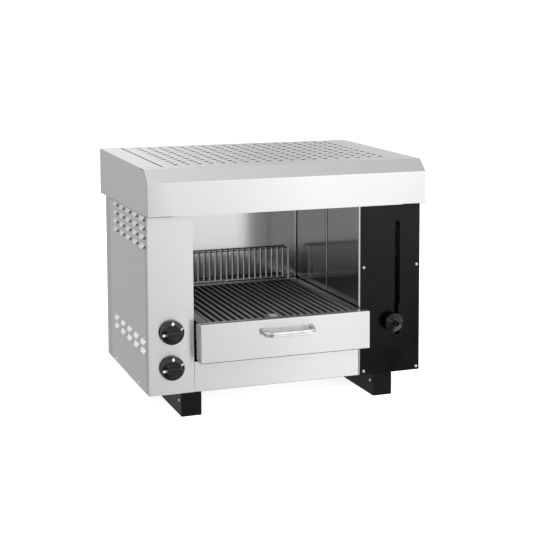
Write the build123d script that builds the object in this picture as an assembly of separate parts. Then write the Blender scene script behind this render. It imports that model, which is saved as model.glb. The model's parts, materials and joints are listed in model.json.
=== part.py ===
from build123d import *
import os

# Gas salamander grill with a height-adjustable shelf, in millimetres. X runs to the right, Y to the
# back and Z up. The origin lies on the bench, midway between the sides and midway between the drawer
# handle and the back of the hood.
os.makedirs("parts", exist_ok=True)

# Cabinet and hood
width = 600.0
body_depth = 370.0
body_height = 364.0
foot_height = 48.0
hood_lead = 20.0
hood_overhang = 40.0
hood_side = 3.0
fascia_height = 68.0
chamfer_height = 25.0
chamfer_depth = 27.5
top_rise = 9.0
sheet = 1.5
flange = 14.0
front_wrap = 16.5
back_wrap = 40.0
seam = 0.4

# Perforated top
cheek_strip = 45.0
slit_width = 2.5
slit_start = 55.0
hole_radius = 4.4
hole_columns = 19
hole_rows = 11
hole_margin_left = 82.0
hole_margin_right = 66.8
hole_margin_front = 86.0
hole_margin_back = 38.0

# Front layout
column_width = 95.0
lift_panel_width = 139.0
wall_hem = 4.0
sill_height = 63.0
back_gap = 8.5
panel_screw_left = 8.5
panel_screw_right = 7.0
panel_screw_low = 7.5
panel_screw_high = 230.5

# Louvres of the left side
louvre_length = 37.0
louvre_height = 11.0
louvre_depth = 4.5
louvre_wall = 1.1
louvre_crest = 2.75
louvre_taper = 6.0
louvre_columns = 5
louvre_margin_front = 19.1
louvre_margin_back = 61.6
louvre_top_rows = 4
louvre_low_rows = 2
louvre_pitch_z = 18.6
louvre_top_drop = 9.0
louvre_low_height = 84.7
side_screw_rise = 6.5
side_screw_front = 68.0
side_screw_back = 42.0

# Feet
foot_inset = 66.0
foot_width = 43.0
foot_sheet = 2.0
foot_lead = 2.0
foot_tab = 25.0
foot_tab_inset = 3.0
foot_tab_drop = 34.0

# Screws
screw_radius = 2.0
screw_head = 3.4
screw_dome = 2.0
screw_length = 8.0
screw_sides = 8

# Gas knobs and valves
knob_radius = 25.0
skirt_thickness = 9.0
boss_radius = 15.5
boss_height = 5.0
grip_length = 33.0
grip_width = 10.0
grip_height = 9.0
lower_knob_height = 55.5
knob_spacing = 73.0
push_travel = 4.0
push_gap = 1.0
spindle_radius = 4.0
spindle_fit = 0.05
spindle_hole = 7.0
valve_width = 24.0
valve_length = 38.0
valve_setback = 14.0
valve_neck = 6.0
valve_neck_radius = 9.0
spindle_depth = 12.0
push_rod_length = 12.0
push_rod_radius = 3.5
manifold_width = 20.0
manifold_overhang = 33.0
pipe_radius = 4.0
pipe_bend = 6.0
pipe_sides = 6
pipe_drop = 64.0
riser_from_side = 26.0
supply_radius = 8.0
supply_height = 40.0
inlet_radius = 10.5
inlet_length = 22.0
inlet_nut = 15.0
inlet_nut_length = 8.0
inlet_wall = 4.5
inlet_socket = 2.0

# Burners
burner_depth = 138.0
burner_height = 40.0
burner_gap = 12.0
burner_front = 46.0
burner_end_gap = 23.0
tile_thickness = 13.0
tile_columns = 4
tile_rows = 2
tile_joint = 0.4
tile_play = 0.5
tile_lip = 5.0
rail_rise = 20.0
rail_shelf = 33.0
rail_lead = 16.0
rail_tail = 6.0
mixer_rise = 22.0
mixer_radius = 15.0
mixer_wall = 1.2
mixer_length = 26.0
injector_radius = 6.0
injector_length = 20.0
injector_gap = 10.0
injector_nose = 5.0
injector_nose_radius = 2.5
injector_reach = 10.0
injector_nut = 9.0
bracket_thickness = 2.0
bracket_margin = 25.0
bracket_rise = 20.0

# Lift
lift_travel = 175.0
rod_radius = 7.0
rod_fit = 0.05
rod_spacing = 100.0
rod_from_wall = 40.0
bush_wall = 3.0
housing_wall = 4.0
housing_height = 95.0
collar_height = 12.0
collar_wall = 6.0
rod_plate = 12.0
rod_plate_margin = 30.0
rod_head_gap = 8.0
upper_plate = 8.0
upper_plate_drop = 10.0
collar_drop = 45.0
lift_setback = 171.0
lift_slit = 9.0
slit_relief = 5.0
slit_flange = 8.0
arm_thickness = 5.0
arm_height = 50.0
arm_pad = 2.0
arm_pad_width = 70.0
arm_rise = 4.0
carriage_plate = 6.0
carriage_overlap = 1.0
slot_width = 12.0
slot_from_side = 52.3
slot_low = 81.0
slot_spare = 5.0
tongue_thickness = 5.0
tongue_low = 97.0
tongue_high = 147.0
jaw_high = 127.0
jaw_gap = 5.7
clamp_from_side = 67.5
clamp_height = 111.5
clamp_radius = 20.5
clamp_length = 20.0
clamp_back = 12.0
clamp_edge = 3.0
clamp_hub = 6.5
clamp_hub_length = 6.0
clamp_screw_radius = 4.0
clamp_screw_depth = 12.0
jaw_margin = 11.0
fit_gap = 0.3

# Shelf
shelf_level = 147.0
shelf_side_gap = 3.5
shelf_wall_gap = 4.0
shelf_front_gap = 1.0
shelf_depth = 373.0
shelf_height = 59.0
shelf_rim_left = 20.0
shelf_rim_right = 17.5
runner_width = 15.0
grate_height = 14.0
grate_ledge = 8.0
grate_gap = 1.5
grate_depth = 348.0
grate_front_gap = 1.0
grate_stop = 8.0
bar_count = 21
bar_base = 9.0
bar_top = 6.8
bar_end = 6.0
bar_end_drop = 4.0
rib_count = 2
rib_width = 8.0
rib_height = 6.0
pad_width = 16.0
pad_length = 21.0
pad_thickness = 5.0
pad_bar = 9
guard_wire = 1.8
guard_pitch = 13.9
guard_height = 76.0
guard_foot = 6.0
guard_rail = 9.0
guard_weld = 0.6
guard_setback = 10.0
guard_margin = 6.0
guard_post_step = 11

# Drawer
drawer_lead = 20.0
drawer_return = 18.0
drawer_height = 80.0
drawer_side_gap = 2.0
drawer_lap = 5.0
drawer_corner = 3.0
tray_gap = 0.8
tray_depth = 38.0
tray_length = 363.0
handle_span = 107.0
handle_reach = 28.0
handle_thickness = 7.0
handle_height = 12.0
handle_bend = 18.0
handle_edge = 3.0
handle_droop = 12.0
handle_drop = 22.0
handle_screw_depth = 7.0
handle_screw_head = 2.0

# Planes that the pieces share
x_left = -width / 2
x_right = width / 2
x_column = x_left + column_width
x_panel = x_right - lift_panel_width
x_wall = x_panel - wall_hem
hood_depth = hood_lead + body_depth + hood_overhang
x_hood = x_left - hood_side
x_hood_end = x_right + hood_side
y_hood = (drawer_lead + handle_reach - hood_depth) / 2
y_face = y_hood + hood_lead
y_back = y_face + body_depth
y_hood_back = y_hood + hood_depth
y_liner = y_back - sheet - back_gap
z_base = foot_height
z_floor = z_base + sheet
z_hood = z_base + body_height
z_chamfer = z_hood + fascia_height
z_top = z_chamfer + chamfer_height
x_liner = x_column - sheet
x_knob = (x_left + x_column) / 2


def block(x0, x1, y0, y1, z0, z1):
    return Pos((x0 + x1) / 2, (y0 + y1) / 2, (z0 + z1) / 2) * Box(x1 - x0, y1 - y0, z1 - z0)


def along_x(section, x0, x1):
    return Pos(x0, 0, 0) * extrude(Plane.YZ * section, amount=x1 - x0)


def along_y(section, y0, y1):
    return Pos(0, y0, 0) * extrude(Plane.XZ * section, amount=y0 - y1)


def along_z(section, z0, z1):
    return Pos(0, 0, z0) * extrude(section, amount=z1 - z0)


def rod_x(x0, x1, y, z, radius):
    return along_x(Pos(y, z) * Circle(radius), x0, x1)


def rod_y(x, y0, y1, z, radius):
    return along_y(Pos(x, z) * Circle(radius), y0, y1)


def rod_z(x, y, z0, z1, radius):
    return along_z(Pos(x, y) * Circle(radius), z0, z1)


def folded(points, thickness=sheet):
    """Section of a folded sheet: the points run along one face and the other lies to their left."""
    face = [Vector(*p) for p in points]
    runs = [(b - a).normalized() for a, b in zip(face, face[1:])]
    normals = [Vector(-d.Y, d.X) for d in runs]
    other = [face[0] + normals[0] * thickness]
    for corner, before, after in zip(face[1:-1], normals, normals[1:]):
        other.append(corner + (before + after) * (thickness / (1 + before.dot(after))))
    other.append(face[-1] + normals[-1] * thickness)
    return make_face(Polyline(*face, *reversed(other), close=True))


def pipe(points, radius, bend):
    """Round pipe through corner points, each bend an arc of the same radius."""
    path = FilletPolyline(*points, radius=bend)
    return sweep(Plane(path @ 0, z_dir=path % 0) * RegularPolygon(radius, pipe_sides), path=path)


def dome_screw(face, inward):
    """Pan-head screw seated on a face point, its shank pointing inward."""
    seat = RegularPolygon(screw_head, screw_sides)
    crown = Pos(0, 0, -screw_dome) * RegularPolygon(screw_head / 2, screw_sides)
    shank = extrude(RegularPolygon(screw_radius, screw_sides // 2), amount=screw_length)
    return Plane(face, z_dir=inward) * (loft([crown, seat], ruled=True) + shank)


def screw_holes(places, axis):
    hole = extrude(RegularPolygon(screw_radius, screw_sides // 2), amount=2 * screw_length, both=True)
    return [Plane(place, z_dir=axis) * hole for place in places]


# Base tray, with a turned-up edge and tabs that reach down into the feet
foot_lefts = (x_left + foot_inset, x_right - foot_inset - foot_width)
foot_front = y_face - foot_lead
foot_back = y_back - foot_lead
tab_ys = (foot_front + foot_tab_inset, foot_back - foot_tab_inset - foot_tab)
foot_screw_z = z_base - foot_tab_drop / 2
foot_screw_places = [(x, y + foot_tab / 2, foot_screw_z) for x in foot_lefts for y in tab_ys]
tray_space = block(x_left + sheet, x_right - sheet, y_face + sheet, y_back - sheet, z_base, z_floor + flange)
base_tray = tray_space - block(
    x_left + 2 * sheet, x_right - 2 * sheet, y_face + 2 * sheet, y_back - 2 * sheet, z_floor, z_hood
)
for foot_x in foot_lefts:
    for tab_y in tab_ys:
        tab_x = foot_x + foot_sheet
        base_tray += block(tab_x, tab_x + sheet, tab_y, tab_y + foot_tab, z_base - foot_tab_drop, z_floor)
base_tray -= screw_holes(foot_screw_places, (1, 0, 0))

# Feet, black folded channels from front to back
feet = []
for foot_x in foot_lefts:
    foot = block(foot_x, foot_x + foot_width, foot_front, foot_back, 0, z_base)
    foot -= block(
        foot_x + foot_sheet, foot_x + foot_width - foot_sheet,
        foot_front + foot_sheet, foot_back - foot_sheet, foot_sheet, z_base,
    )
    feet.append(foot - screw_holes([p for p in foot_screw_places if p[0] == foot_x], (1, 0, 0)))
left_foot, right_foot = feet
foot_screws = Compound(children=[dome_screw(p, (1, 0, 0)) for p in foot_screw_places])

# Left front panel, wrapped round the side and returned along the opening
valve_zs = (z_base + lower_knob_height + knob_spacing, z_base + lower_knob_height)
left_front_panel = along_z(
    folded(
        [
            (x_left, y_face + front_wrap), (x_left, y_face),
            (x_column, y_face), (x_column, y_face + flange),
        ]
    ),
    z_base, z_hood,
)
left_front_panel += block(
    x_left + sheet, x_liner - flange - seam, y_face + sheet, y_face + flange, z_hood - sheet, z_hood
)
left_front_panel -= tray_space
for valve_z in valve_zs:
    left_front_panel -= rod_y(x_knob, y_face - 1, y_face + sheet + 1, valve_z, spindle_hole)

# Louvred left side panel, screwed on at the foot
side_front = y_face + front_wrap + seam
side_back = y_back - back_wrap - seam
side_screw_ys = (side_front + side_screw_front, side_back - side_screw_back)
side_screw_z = z_base + side_screw_rise


def side_panel(x_out, x_in):
    """Flat side with its top edge folded inward, between outer face x_out and inner face x_in."""
    inward = 1 if x_in > x_out else -1
    panel = block(min(x_out, x_in), max(x_out, x_in), side_front, side_back, z_base, z_hood)
    edge = sorted((x_in, x_in + inward * flange))
    panel += block(*edge, side_front, side_back, z_hood - sheet, z_hood)
    return panel - screw_holes([(x_out, y, side_screw_z) for y in side_screw_ys], (1, 0, 0))


def louvre_block(wall):
    """Pressed louvre, open at its lower face: the outer form, or the hollow that leaves a wall."""
    low, high = -louvre_height / 2, louvre_height / 2 - wall
    crest = low + louvre_crest - wall / 2
    half = louvre_length / 2 - wall
    depth = louvre_depth - wall
    profile = Polyline((sheet, low), (sheet, high), (0, high), (-depth, crest), (-depth, low), close=True)
    plan = Polyline(
        (sheet, -half), (0, -half), (-depth, louvre_taper - half), (-depth, half - louvre_taper),
        (0, half), (sheet, half), close=True,
    )
    return along_y(make_face(profile), -half, half) & along_z(make_face(plan), low, high)


louvre_zs = [z_hood - louvre_top_drop - i * louvre_pitch_z for i in range(louvre_top_rows)]
louvre_zs += [z_base + louvre_low_height + i * louvre_pitch_z for i in range(louvre_low_rows)]
louvre_pitch_y = (side_back - side_front - louvre_margin_front - louvre_margin_back) / (louvre_columns - 1)
louvre_ys = [side_front + louvre_margin_front + i * louvre_pitch_y for i in range(louvre_columns)]
louvre_places = [Pos(x_left, y, z) for z in louvre_zs for y in louvre_ys]
left_side_panel = side_panel(x_left, x_left + sheet)
left_side_panel += [place * louvre_block(0) for place in louvre_places]
left_side_panel -= [place * louvre_block(louvre_wall) for place in louvre_places]
right_side_panel = side_panel(x_right, x_right - sheet)
side_screws = Compound(
    children=[dome_screw((x_left, y, side_screw_z), (1, 0, 0)) for y in side_screw_ys]
    + [dome_screw((x_right, y, side_screw_z), (-1, 0, 0)) for y in side_screw_ys]
)
base_tray -= screw_holes([(x, y, side_screw_z) for x in (x_left, x_right) for y in side_screw_ys], (1, 0, 0))

# Back panel, wrapped round both sides, with the gas inlet hole
back_panel = along_z(
    folded(
        [
            (x_right, y_back - back_wrap), (x_right, y_back),
            (x_left, y_back), (x_left, y_back - back_wrap),
        ]
    ),
    z_base, z_hood,
)
z_supply = z_base + supply_height
back_panel -= rod_y(x_knob, y_back - 5, y_back + 5, z_supply, supply_radius + fit_gap)

# Black right front panel with the lift slot
x_slot = x_right - slot_from_side
slot_high = tongue_high + lift_travel + slot_spare
panel_screw_places = [
    (x, y_face, z_base + z)
    for x in (x_panel + panel_screw_left, x_right - panel_screw_right)
    for z in (panel_screw_low, panel_screw_high)
]
lift_panel = along_z(
    folded(
        [
            (x_panel, y_face + flange), (x_panel, y_face),
            (x_right, y_face), (x_right, y_face + front_wrap),
        ]
    ),
    z_base, z_hood,
)
lift_panel += block(x_panel + sheet, x_right - sheet, y_face + sheet, y_face + flange, z_hood - sheet, z_hood)
slot_shape = Pos(x_slot, z_base + (slot_low + slot_high) / 2) * SlotOverall(
    slot_high - slot_low, slot_width, rotation=90
)
lift_panel -= along_y(slot_shape, y_face - 1, y_face + sheet + 1)
lift_panel -= screw_holes(panel_screw_places, (0, 1, 0))
lift_panel -= tray_space
panel_screws = Compound(children=[dome_screw(p, (0, 1, 0)) for p in panel_screw_places])
base_tray -= screw_holes(panel_screw_places, (0, 1, 0))

# Sill panel under the drawer
sill_panel = along_x(
    folded(
        [
            (y_face + flange, z_base + sill_height), (y_face, z_base + sill_height), (y_face, z_base),
        ]
    ),
    x_column, x_wall,
)

# Liner of the cooking chamber; the right wall is in two sheets with the lift slit between
slit_middle = y_face + lift_setback
slit_front = slit_middle - lift_slit / 2
slit_back = slit_middle + lift_slit / 2
left_inner_wall = along_y(
    folded([(x_liner - flange, z_hood), (x_liner, z_hood), (x_liner, z_floor)], -sheet),
    y_face + 2 * sheet, y_liner + sheet,
)
chamber_back = block(x_liner, x_wall, y_liner, y_liner + sheet, z_floor, z_hood)


def right_wall(points, y0, y1):
    wall = along_z(folded(points), z_floor, z_hood)
    return wall + block(x_wall + sheet, x_wall + flange, y0, y1, z_hood - sheet, z_hood)


right_wall_front = right_wall(
    [
        (x_wall + slit_flange, slit_front), (x_wall, slit_front), (x_wall, y_face), (x_panel, y_face),
    ],
    y_face + flange + seam, slit_front - sheet,
)
right_wall_front -= base_tray
right_wall_rear = right_wall(
    [(x_wall, y_liner + sheet), (x_wall, slit_back), (x_wall + slit_flange, slit_back)],
    slit_back + sheet, y_liner + sheet,
)

# Hood: fascia, chamfer and perforated top in one folded sheet
hood_line = [
    (y_hood + hood_lead + sheet, z_hood), (y_hood, z_hood), (y_hood, z_chamfer),
    (y_hood + chamfer_depth, z_top), (y_hood_back, z_top + top_rise),
]
hood_shell = along_x(folded(hood_line, -sheet), x_hood, x_hood_end)
y_slit = y_hood + slit_start
hood_shell -= block(
    x_hood, x_hood + cheek_strip + slit_width, y_slit, y_hood_back + 1, z_chamfer, z_top + top_rise + 1
)
holes_x = x_hood_end - x_hood - hole_margin_left - hole_margin_right
holes_y = hood_depth - hole_margin_front - hole_margin_back
hole_centre = Pos(x_hood + hole_margin_left + holes_x / 2, y_hood + hole_margin_front + holes_y / 2)
hole_grid = GridLocations(holes_x / (hole_columns - 1), holes_y / (hole_rows - 1), hole_columns, hole_rows)
hole = along_z(RegularPolygon(hole_radius, 6), z_chamfer, z_top + top_rise + 1)
hood_shell -= [hole_centre * place * hole for place in hole_grid]

# Hood cheeks under the folded sheet; the left one carries the strip beside the slit
slope = top_rise / (hood_depth - chamfer_depth)
cheek_line = [
    (y_hood + sheet, z_hood + sheet), (y_hood + sheet, z_chamfer - sheet / 2),
    (y_hood + chamfer_depth + sheet / 2, z_top - 1.2 * sheet), (y_hood_back, z_top + top_rise - 1.2 * sheet),
    (y_hood_back, z_hood), (y_face + sheet, z_hood), (y_face + sheet, z_hood + sheet),
]
cheek_side = make_face(Polyline(*cheek_line, close=True))
strip_line = [(y_slit + 1, z_top + slope * (slit_start + 1 - chamfer_depth)), (y_hood_back, z_top + top_rise)]
hood_left_cheek = along_x(cheek_side, x_hood, x_hood + sheet)
hood_left_cheek += along_x(folded(strip_line, -1.3 * sheet), x_hood, x_hood + cheek_strip)
hood_left_cheek += block(x_hood, x_left + flange, y_face + 2 * sheet, y_back, z_hood, z_hood + sheet)
hood_right_cheek = along_x(cheek_side, x_hood_end - sheet, x_hood_end)
hood_right_cheek += block(x_right - flange, x_hood_end, y_face + 2 * sheet, y_back, z_hood, z_hood + sheet)

# Hood back, turned forward under the overhang
hood_back = along_x(
    folded(
        [
            (y_liner + 4 * sheet, z_hood), (y_hood_back, z_hood), (y_hood_back, z_top + top_rise - 1.5 * sheet),
        ]
    ),
    x_hood + sheet, x_hood_end - sheet,
)
hood_back -= block(x_hood, x_left + flange, y_face, y_back, z_hood, z_hood + sheet)
hood_back -= block(x_right - flange, x_hood_end, y_face, y_back, z_hood, z_hood + sheet)

# Burner rails on the tops of the chamber walls
burner_ys = (y_hood + burner_front, y_hood + burner_front + burner_depth + burner_gap)
rail_front = y_hood + burner_front - rail_lead
rail_back = burner_ys[1] + burner_depth + rail_tail
z_rail = z_hood + rail_rise


def burner_rail(x_inner, inward):
    section = folded(
        [
            (x_inner - inward * flange, z_hood), (x_inner, z_hood),
            (x_inner, z_rail - sheet), (x_inner + inward * rail_shelf, z_rail - sheet),
        ],
        inward * sheet,
    )
    return along_y(section, rail_front, rail_back)


left_burner_rail = burner_rail(x_liner, 1)
right_burner_rail = burner_rail(x_wall, -1)

# Burners: sheet boxes with mixing tubes, each with a bed of ceramic tiles
x_burner = x_column + burner_end_gap
x_burner_end = x_wall - burner_end_gap
z_mixer = z_rail + mixer_rise


def burner(y0):
    y1 = y0 + burner_depth
    y_axis = y0 + burner_depth / 2
    box = block(x_burner, x_burner_end, y0, y1, z_rail, z_rail + burner_height)
    box -= block(
        x_burner + sheet, x_burner_end - sheet, y0 + sheet, y1 - sheet,
        z_rail + sheet, z_rail + burner_height - sheet,
    )
    lip = tile_lip + sheet
    box -= block(x_burner + lip, x_burner_end - lip, y0 + lip, y1 - lip, z_rail - 1, z_rail + 2 * sheet)
    box += rod_x(x_burner - mixer_length, x_burner + sheet, y_axis, z_mixer, mixer_radius)
    bore = mixer_radius - mixer_wall
    return box - rod_x(x_burner - mixer_length - 1, x_burner + 2 * sheet, y_axis, z_mixer, bore)


def tile_bed(y0):
    bed_x = x_burner_end - x_burner - 2 * (sheet + tile_play)
    bed_y = burner_depth - 2 * (sheet + tile_play)
    pitch_x, pitch_y = bed_x / tile_columns, bed_y / tile_rows
    middle = Pos((x_burner + x_burner_end) / 2, y0 + burner_depth / 2, z_rail + sheet + tile_thickness / 2)
    tile = Box(pitch_x - tile_joint, pitch_y - tile_joint, tile_thickness)
    return Compound(
        children=[middle * p * tile for p in GridLocations(pitch_x, pitch_y, tile_columns, tile_rows)]
    )


front_burner, rear_burner = (burner(y) for y in burner_ys)
front_tiles, rear_tiles = (tile_bed(y) for y in burner_ys)

# Injectors on their bracket, blowing into the mixing tubes
x_nozzle = x_burner - mixer_length - injector_gap
x_bracket = x_nozzle - injector_reach
injector_ys = [y + burner_depth / 2 for y in burner_ys]
injector_bracket = along_y(
    folded(
        [(x_liner - sheet, z_hood + sheet), (x_bracket, z_hood + sheet), (x_bracket, z_mixer + bracket_rise)],
        -bracket_thickness,
    ),
    injector_ys[0] - bracket_margin, injector_ys[1] + bracket_margin,
)
injectors = []
for y in injector_ys:
    barrel = Pos(y, z_mixer) * RegularPolygon(injector_radius, 6)
    injector_bracket -= along_x(barrel, x_bracket - 1, x_nozzle)
    injector = along_x(barrel, x_nozzle - injector_length, x_nozzle - injector_nose)
    injector += along_x(
        Pos(y, z_mixer) * RegularPolygon(injector_nose_radius, 6), x_nozzle - injector_nose, x_nozzle
    )
    injector += along_x(
        Pos(y, z_mixer) * RegularPolygon(injector_nut, 6), x_bracket - injector_nose, x_bracket
    )
    injectors.append(injector)
gas_injectors = Compound(children=injectors)

# Gas manifold, valves and pipes behind the left front panel
y_valve = y_face + valve_setback
y_valve_back = y_valve + valve_length
gas_manifold = block(
    x_knob - manifold_width / 2, x_knob + manifold_width / 2, y_valve_back, y_valve_back + manifold_width,
    valve_zs[1] - manifold_overhang, valve_zs[0] + manifold_overhang,
)
spindle_back = y_valve + spindle_depth
rod_back = spindle_back + push_rod_length


def gas_valve(z):
    half = valve_width / 2
    body = block(x_knob - half, x_knob + half, y_valve, y_valve_back, z - half, z + half)
    body += rod_y(x_knob, y_valve - valve_neck, y_valve, z, valve_neck_radius)
    bore_back = rod_back + push_travel + push_gap
    return body - rod_y(x_knob, y_valve - valve_neck - 1, bore_back, z, spindle_radius + spindle_fit)


upper_valve, lower_valve = (gas_valve(z) for z in valve_zs)
y_pipe = y_valve + valve_length / 2
x_injector = x_nozzle - injector_length
rear_pipe = pipe(
    [
        (x_knob, y_pipe, valve_zs[0] + valve_width / 2), (x_knob, y_pipe, z_hood - pipe_drop),
        (x_knob, injector_ys[1], z_hood - pipe_drop), (x_knob, injector_ys[1], z_mixer),
        (x_injector, injector_ys[1], z_mixer),
    ],
    pipe_radius, pipe_bend,
)
x_riser = x_left + riser_from_side
front_pipe = pipe(
    [
        (x_knob - valve_width / 2, y_pipe, valve_zs[1]), (x_riser, y_pipe, valve_zs[1]),
        (x_riser, y_pipe, z_mixer), (x_riser, injector_ys[0], z_mixer), (x_injector, injector_ys[0], z_mixer),
    ],
    pipe_radius, pipe_bend,
)
y_socket = y_back + inlet_socket
y_thread = y_back + inlet_nut_length
supply_pipe = rod_y(x_knob, y_valve_back + manifold_width, y_socket, z_supply, supply_radius)
gas_inlet = along_y(Pos(x_knob, z_supply) * RegularPolygon(inlet_nut, 6), y_back, y_thread)
gas_inlet += rod_y(x_knob, y_thread, y_thread + inlet_length, z_supply, inlet_radius)
gas_inlet -= rod_y(x_knob, y_back - 1, y_socket, z_supply, supply_radius)
gas_inlet -= rod_y(x_knob, y_back, y_thread + inlet_length + 1, z_supply, inlet_radius - inlet_wall)

# Gas knobs on their spindles; each spindle presses a rod inside its valve
y_skirt = y_face - push_travel - push_gap
y_skirt_front = y_skirt - skirt_thickness
y_grip_front = y_skirt_front - boss_height - grip_height


def gas_knob(z):
    profile = [
        (0, 0), (knob_radius, 0), (knob_radius - 2, skirt_thickness),
        (boss_radius, skirt_thickness), (boss_radius - 2, skirt_thickness + boss_height),
        (0, skirt_thickness + boss_height),
    ]
    knob = revolve(Plane.XZ * make_face(Polyline(*profile, close=True)), axis=Axis.Z)
    rise = boss_height + grip_height
    bar = Pos(0, 0, skirt_thickness + rise / 2) * Box(grip_length, grip_width, rise)
    bar = chamfer(bar.faces().sort_by(Axis.Z)[-1].edges(), 2.5)
    knob += bar & Pos(0, 0, skirt_thickness) * Cylinder(knob_radius - 2.5, 2 * rise)
    knob -= Cylinder(spindle_radius, 2 * skirt_thickness + boss_height)
    return Plane((x_knob, y_skirt, z), x_dir=(1, 0, 0), z_dir=(0, -1, 0)) * knob


def knob_spindle(z):
    return rod_y(x_knob, y_skirt - skirt_thickness - boss_height / 2, spindle_back, z, spindle_radius)


def push_rod(z):
    return rod_y(x_knob, spindle_back, rod_back, z, push_rod_radius)


upper_knob, lower_knob = (gas_knob(z) for z in valve_zs)
upper_spindle, lower_spindle = (knob_spindle(z) for z in valve_zs)
upper_push_rod, lower_push_rod = (push_rod(z) for z in valve_zs)

# Guide rods of the lift, held between two plates, with stop collars
x_rod = x_wall + rod_from_wall
rod_ys = (slit_middle - rod_spacing / 2, slit_middle + rod_spacing / 2)
bush_radius = rod_radius + bush_wall
housing_radius = bush_radius + housing_wall
z_rod_top = z_hood - rod_head_gap
z_upper_plate = z_rod_top - upper_plate_drop
z_collar = z_base + shelf_level - shelf_height - collar_drop
z_housing = z_collar + collar_height
plate_front = rod_ys[0] - rod_plate_margin
plate_back = rod_ys[1] + rod_plate_margin
x_plate_end = x_rod + rod_plate_margin
guide_rods = Compound(children=[rod_z(x_rod, y, z_floor, z_rod_top, rod_radius) for y in rod_ys])
lower_rod_plate = block(
    x_rod - rod_plate_margin, x_plate_end, plate_front, plate_back, z_floor, z_floor + rod_plate
)
upper_rod_plate = block(
    x_wall + sheet, x_plate_end, plate_front, plate_back, z_upper_plate, z_upper_plate + upper_plate
)
upper_rod_plate -= block(
    x_wall, x_wall + slit_flange + slit_relief, slit_front - slit_relief, slit_back + slit_relief,
    z_upper_plate - 1, z_upper_plate + upper_plate + 1,
)
collars = []
for y in rod_ys:
    bore = rod_z(x_rod, y, z_base, z_hood, rod_radius)
    lower_rod_plate -= bore
    upper_rod_plate -= bore
    collar = along_z(Pos(x_rod, y) * RegularPolygon(rod_radius + collar_wall, 6), z_collar, z_housing)
    collars.append(collar - bore)
stop_collars = Compound(children=collars)

# Carriage that slides on the rods, with a long bush in each housing
x_plate = x_rod - housing_radius + carriage_overlap - carriage_plate
z_shelf = z_base + shelf_level
z_arm = z_shelf - shelf_height + arm_rise
carriage = block(
    x_plate, x_plate + carriage_plate, plate_front, plate_back, z_housing, z_housing + housing_height
)
bushes = []
for y in rod_ys:
    carriage += block(
        x_rod - housing_radius, x_rod + housing_radius, y - housing_radius, y + housing_radius,
        z_housing, z_housing + housing_height,
    )
for y in rod_ys:
    carriage -= rod_z(x_rod, y, z_housing, z_housing + housing_height, bush_radius)
    bore = rod_z(x_rod, y, z_base, z_hood, rod_radius + rod_fit)
    bushes.append(rod_z(x_rod, y, z_housing, z_housing + housing_height, bush_radius) - bore)
carriage_bushes = Compound(children=bushes)

# Arm from the carriage through the slit to the shelf
x_shelf = x_column + shelf_side_gap
x_shelf_end = x_wall - shelf_wall_gap
shelf_arm = block(
    x_shelf_end, x_shelf_end + arm_pad, slit_middle - arm_pad_width / 2, slit_middle + arm_pad_width / 2,
    z_arm, z_arm + arm_height,
)
shelf_arm += block(
    x_shelf_end, x_plate, slit_middle - arm_thickness / 2, slit_middle + arm_thickness / 2,
    z_arm, z_arm + arm_height,
)

# Tongue from the carriage out through the panel slot, bent to a jaw that holds the clamp screw
y_jaw = y_face - jaw_gap
y_tongue = plate_front + tongue_thickness
tongue_edge = x_slot + tongue_thickness / 2
x_clamp = x_right - clamp_from_side
z_clamp = z_base + clamp_height
x_jaw = x_clamp - jaw_margin
lift_tongue = along_z(
    folded(
        [
            (x_plate + carriage_plate, y_tongue), (tongue_edge, y_tongue),
            (tongue_edge, y_jaw - tongue_thickness), (x_jaw, y_jaw - tongue_thickness),
        ],
        -tongue_thickness,
    ),
    z_base + tongue_low, z_base + tongue_high,
)
lift_tongue -= block(
    x_jaw - 1, tongue_edge - tongue_thickness, y_jaw - tongue_thickness - 1, y_jaw + 1,
    z_base + jaw_high, z_base + tongue_high + 1,
)
lift_tongue -= rod_y(x_clamp, y_jaw - 2 * tongue_thickness, y_face, z_clamp, clamp_screw_radius + spindle_fit)

# Clamp knob, a trumpet-shaped disc with a hub, on its screw
y_clamp = y_jaw - tongue_thickness - fit_gap
clamp_neck = clamp_length - clamp_hub_length
clamp_profile = [
    (0, 0), (clamp_back, 0), (clamp_radius, clamp_edge + 1), (clamp_radius, 2 * clamp_edge + 1),
    (clamp_hub + 2.5, clamp_neck), (clamp_hub, clamp_neck), (clamp_hub, clamp_length), (0, clamp_length),
]
clamp_knob = revolve(Plane.XZ * make_face(Polyline(*clamp_profile, close=True)), axis=Axis.Z)
clamp_knob -= Cylinder(clamp_screw_radius, 2 * clamp_screw_depth)
clamp_knob = Plane((x_clamp, y_clamp, z_clamp), x_dir=(1, 0, 0), z_dir=(0, -1, 0)) * clamp_knob
clamp_screw = rod_y(x_clamp, y_clamp - clamp_screw_depth, y_face - fit_gap, z_clamp, clamp_screw_radius)

# Shelf frame: folded side rails with a rim, a ledge for the grate and a runner for the tray
y_shelf = y_hood + shelf_front_gap
y_shelf_end = y_shelf + shelf_depth
z_runner = z_shelf - shelf_height
z_ledge = z_shelf - grate_height
y_grate = y_shelf + grate_front_gap
y_grate_end = y_grate + grate_depth


def shelf_rail(x_out, inward, rim):
    section = folded(
        [
            (x_out + inward * runner_width, z_runner), (x_out, z_runner), (x_out, z_shelf),
            (x_out + inward * rim, z_shelf), (x_out + inward * rim, z_ledge),
            (x_out + inward * (rim + grate_ledge), z_ledge),
        ],
        -inward * sheet,
    )
    return along_y(section, y_shelf, y_shelf_end)


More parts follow.
